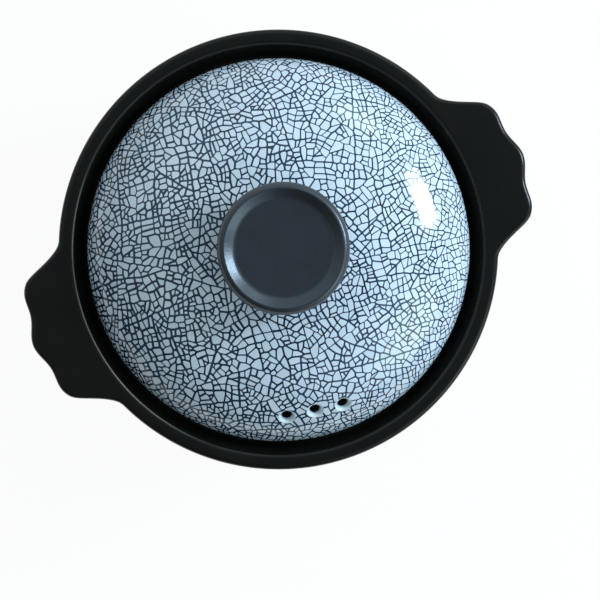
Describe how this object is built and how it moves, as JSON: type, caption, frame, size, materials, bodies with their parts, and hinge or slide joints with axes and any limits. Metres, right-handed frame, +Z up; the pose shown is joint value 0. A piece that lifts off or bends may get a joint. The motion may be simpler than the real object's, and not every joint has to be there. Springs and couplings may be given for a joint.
{
  "type": "donabe clay pot",
  "caption": "Round stoneware cooking pot with lobed ears, a lid gallery, and a domed lid with steam holes and a dished knob.",
  "frame": {"origin": "centre of the foot ring, on the surface that the pot stands on", "axes": "+Z up along the pot's axis, +X through the middle of an ear, -Y towards the side with the steam holes"},
  "size_m": [0.2454, 0.205, 0.1655],
  "materials": {
    "black_glaze": "semi-gloss black glaze on stoneware",
    "crackle_glaze": "clear gloss over pale blue-white with fine navy ice-crack lines",
    "satin_black": "satin black glaze"
  },
  "bodies": {
    "pot": {"pot_body": "black_glaze"},
    "lid": {"lid_dome": "crackle_glaze", "lid_knob": "satin_black"}
  },
  "joints": [
    {"name": "lid_lift", "type": "slide", "parent": "pot", "child": "lid", "axis": [0, 0, 1], "range_m": [0, 0.15]}
  ]
}
